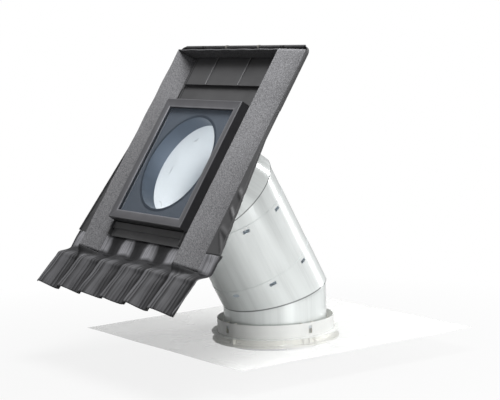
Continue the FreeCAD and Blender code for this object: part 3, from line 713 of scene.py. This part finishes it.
class SKYLIGHT_OT_shaft(bpy.types.Operator):
    """Finishes the adapter ring, the elbows and the straight tube"""
    bl_idname = "skylight.shaft"
    bl_label = "Light Shaft"

    def execute(self, context):
        c = colours()
        coat(shaft_finish("bright_adapter", c.adapter, PITCH, WALL, rough=0.3, metal=0.5), "adapter_ring")
        for node, tilt, wall, seam in (
                ("upper_elbow_inlet", PITCH, OUTER_WALL, UPPER_SEAM),
                ("upper_elbow_outlet", TILT, INNER_WALL, UPPER_SEAM),
                ("straight_tube", TILT, WALL, None),
                ("lower_elbow_inlet", TILT, OUTER_WALL, LOWER_SEAM),
                ("lower_elbow_outlet", 0.0, INNER_WALL, LOWER_SEAM)):
            coat(shaft_finish("bright_" + node, c.shaft, tilt, wall, seam=seam), node)
        return {"FINISHED"}


class SKYLIGHT_OT_vapour_film(bpy.types.Operator):
    """Makes the vapour film and finishes its collar"""
    bl_idname = "skylight.vapour_film"
    bl_label = "Vapour Film"

    def execute(self, context):
        """Rings from the hole out to the square's edges. The film lifts by half of the film wave, plus
        half of it times two sines, one across and one along, and lies still at the hole."""
        c = colours()
        low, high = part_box("vapour_sheet")
        centre = (low + high) / 2.0
        turn = np.linspace(0.0, 2.0 * math.pi, 240, endpoint=False)[:, None]
        share = np.linspace(0.0, 1.0, 60)[None, :]
        reach = FILM_SIDE / 2.0 / np.maximum(np.abs(np.cos(turn)), np.abs(np.sin(turn)))
        radius = FILM_HOLE + (reach - FILM_HOLE) * share
        x = radius * np.cos(turn)
        y = radius * np.sin(turn)
        calm = smooth(share, 0.0, 0.3)
        wave = sizes().film_wave * calm * (0.5 + 0.5 * np.sin(x * 13.0 + 2.0 * np.sin(y * 7.0))
                                           * np.sin(y * 11.0 + 1.3))
        z = low.z + FILM_TOP + wave
        points = np.stack([x + centre.x, y + centre.y, z], -1)
        piece = grid_piece("vapour_film", points, wrap=(True, False), flip=True)
        thicken(piece, FILM_GAUGE)
        finish = clear_sheet("film", c.film, alpha=0.26, rough=0.32, ripple=0.0006)
        dress(piece, finish, "vapour_sheet")
        coat(clear_sheet("film_collar", c.film, alpha=0.8, rough=0.3), "vapour_collar")
        return {"FINISHED"}


class SKYLIGHT_OT_ceiling_end(bpy.types.Operator):
    """Finishes the ceiling ring, its clamps and the diffuser"""
    bl_idname = "skylight.ceiling_end"
    bl_label = "Ceiling End"

    def execute(self, context):
        c = colours()
        coat(moulded("ring_ivory", c.ring, rough=0.25, peel_height=0.00001, coat_weight=0.3), "ceiling_ring")
        coat(moulded("dog_plastic", c.curb, rough=0.4), "clamp_dogs")
        coat(brushed("screw_zinc", c.steel), "clamp_screws")
        coat(clear_sheet("diffuser_skin", c.diffuser, alpha=0.36, rough=0.06, ripple=0.00003),
             "diffuser_lower_lens", "diffuser_upper_lens")
        coat(moulded("diffuser_rubber", c.rubber, rough=0.6), "diffuser_seal")
        return {"FINISHED"}


class SKYLIGHT_OT_stage(bpy.types.Operator):
    """Makes the floor, the lights, the sky and the camera"""
    bl_idname = "skylight.stage"
    bl_label = "Stage"

    def floor(self):
        """A floor that is white to the camera and through glass, but keeps some of the paper's shadows in
        the middle. From below it is clear."""
        side = np.linspace(-14.0, 14.0, 3)
        x, y = np.meshgrid(side, side, indexing="ij")
        piece = grid_piece("studio_floor", np.stack([x, y, np.full_like(x, CAD_BOX[0][2] - 0.03)], -1))
        f = Finish("studio_paper")
        ray = f.node("ShaderNodeLightPath")
        seen = f.node("ShaderNodeMath", {"operation": "MAXIMUM"}, {
            0: ray.out("Is Camera Ray"), 1: ray.out("Is Transmission Ray")}).out(0)
        paper = f.node("ShaderNodeBsdfDiffuse", {}, {"Color": (0.4, 0.4, 0.4)}).out(0)
        white = f.node("ShaderNodeEmission", {}, {"Color": (1.0, 1.0, 1.0), "Strength": 1.0}).out(0)
        at = f.place((0.0, 0.0, 0.0), (0.42, 0.42, 0.0))
        away = f.node("ShaderNodeTexGradient", {"gradient_type": "SPHERICAL"}, {"Vector": at}).out("Fac")
        keep = f.ramp(away, [(0.25, (1.0, 1.0, 1.0)), (0.75, (0.86, 0.86, 0.86))])
        mixed = f.node("ShaderNodeMixShader", {}, {0: seen * keep, 1: paper, 2: white}).out(0)
        under = f.node("ShaderNodeNewGeometry").out("Backfacing")
        clear = f.node("ShaderNodeBsdfTransparent", {}, {"Color": (1.0, 1.0, 1.0)}).out(0)
        sided = f.node("ShaderNodeMixShader", {}, {0: under, 1: mixed, 2: clear}).out(0)
        f.node("ShaderNodeOutputMaterial", {}, {"Surface": sided})
        piece.data.materials.append(f.material)

    def lamp(self, name, place, aim, width, height, power):
        """A flat lamp at a place, turned to what it is aimed at."""
        light = bpy.data.lights.new(name, "AREA")
        light.shape = "RECTANGLE"
        light.size = width
        light.size_y = height
        light.energy = power
        lamp = bpy.data.objects.new(name, light)
        lamp.location = place
        lamp.rotation_euler = (Vector(aim) - Vector(place)).to_track_quat("-Z", "Y").to_euler()
        bpy.context.scene.collection.objects.link(lamp)

    def sky(self):
        """A sky that is white to the camera and through glass, and a weak light for the rest."""
        world = bpy.data.worlds.new("studio")
        bpy.context.scene.world = world
        world.use_nodes = True
        tree = world.node_tree
        tree.nodes.clear()
        out = tree.nodes.new("ShaderNodeOutputWorld")
        ray = tree.nodes.new("ShaderNodeLightPath")
        seen = tree.nodes.new("ShaderNodeMath")
        seen.operation = "MAXIMUM"
        mix = tree.nodes.new("ShaderNodeMixShader")
        soft = tree.nodes.new("ShaderNodeBackground")
        soft.inputs[0].default_value = (1.0, 1.0, 1.0, 1.0)
        soft.inputs[1].default_value = 0.26
        white = tree.nodes.new("ShaderNodeBackground")
        white.inputs[0].default_value = (1.0, 1.0, 1.0, 1.0)
        white.inputs[1].default_value = 1.0
        tree.links.new(ray.outputs["Is Camera Ray"], seen.inputs[0])
        tree.links.new(ray.outputs["Is Transmission Ray"], seen.inputs[1])
        tree.links.new(seen.outputs[0], mix.inputs[0])
        tree.links.new(soft.outputs[0], mix.inputs[1])
        tree.links.new(white.outputs[0], mix.inputs[2])
        tree.links.new(mix.outputs[0], out.inputs[0])

    def camera(self):
        """The picture's camera, as it was fitted to the roof unit: turned by azimuth, elevation and roll,
        and a distance back from the middle of its view."""
        azimuth, elevation, roll = (math.radians(a) for a in (55.2, 6.6, -2.1))
        middle = Vector((0.03, 0.23, -0.125))
        distance = 5.2
        right = Vector((math.cos(azimuth), math.sin(azimuth), 0.0))
        ahead = Vector((-math.sin(azimuth) * math.cos(elevation), math.cos(azimuth) * math.cos(elevation),
                        -math.sin(elevation)))
        up = right.cross(ahead)
        across = right * math.cos(roll) + up * math.sin(roll)
        above = up * math.cos(roll) - right * math.sin(roll)
        data = bpy.data.cameras.new("camera")
        data.lens = 113.5
        data.sensor_width = 36.0
        data.clip_end = 60.0
        camera = bpy.data.objects.new("camera", data)
        turned = Matrix((across, above, -ahead)).transposed().to_4x4()
        camera.matrix_world = Matrix.Translation(middle - ahead * distance) @ turned
        bpy.context.scene.collection.objects.link(camera)
        bpy.context.scene.camera = camera
        return right, ahead

    def execute(self, context):
        scene = bpy.context.scene
        scene.view_settings.view_transform = "Standard"
        right, ahead = self.camera()
        aim = Vector((0.0, 0.25, -0.15))
        top = Vector((0.0, 0.0, 1.0))
        self.floor()
        self.sky()
        self.lamp("key", aim + Vector((0.7, -0.3, 2.9)), aim, 1.6, 1.6, 170.0)
        self.lamp("strip", aim + right * 2.4 + ahead * 1.5 + top * 0.7, aim, 0.35, 2.6, 30.0)
        tubes = Vector((0.0, 0.25, -0.3))
        self.lamp("side", tubes + Vector((2.45, -0.05, -0.15)), tubes, 1.2, 0.35, 23.0)
        self.lamp("daylight_up", (0.0, 0.150, -0.101), (0.0, 0.0, 0.0), 0.16, 0.16, 0.62)
        self.lamp("daylight_down", (0.0, 0.337, -0.460), (0.0, 0.337, -0.6), 0.16, 0.16, 0.1)
        return {"FINISHED"}


class SKYLIGHT_PT_panel(bpy.types.Panel):
    """Lists the skylight's sizes, colours and pieces"""
    bl_idname = "SKYLIGHT_PT_panel"
    bl_label = "Tubular Skylight"
    bl_space_type = "VIEW_3D"
    bl_region_type = "UI"
    bl_category = "Skylight"

    def draw(self, context):
        layout = self.layout
        for group in (context.scene.skylight_sizes, context.scene.skylight_colours):
            column = layout.column(align=True)
            for name in group.__annotations__:
                column.prop(group, name)
        for operator in PIECES:
            layout.operator(operator.bl_idname)


PIECES = (SKYLIGHT_OT_stage, SKYLIGHT_OT_roof_metal, SKYLIGHT_OT_side_sheets, SKYLIGHT_OT_apron,
          SKYLIGHT_OT_foam, SKYLIGHT_OT_glazing, SKYLIGHT_OT_shaft, SKYLIGHT_OT_vapour_film,
          SKYLIGHT_OT_ceiling_end)
CLASSES = (SkylightSizes, SkylightColours) + PIECES + (SKYLIGHT_PT_panel,)


def register():
    for item in CLASSES:
        bpy.utils.register_class(item)
    bpy.types.Scene.skylight_sizes = bpy.props.PointerProperty(type=SkylightSizes)
    bpy.types.Scene.skylight_colours = bpy.props.PointerProperty(type=SkylightColours)


def unregister():
    del bpy.types.Scene.skylight_colours
    del bpy.types.Scene.skylight_sizes
    for item in reversed(CLASSES):
        bpy.utils.unregister_class(item)


def main():
    register()
    for operator in PIECES:
        group, name = operator.bl_idname.split(".")
        getattr(getattr(bpy.ops, group), name)()


if __name__ == "__main__":
    main()
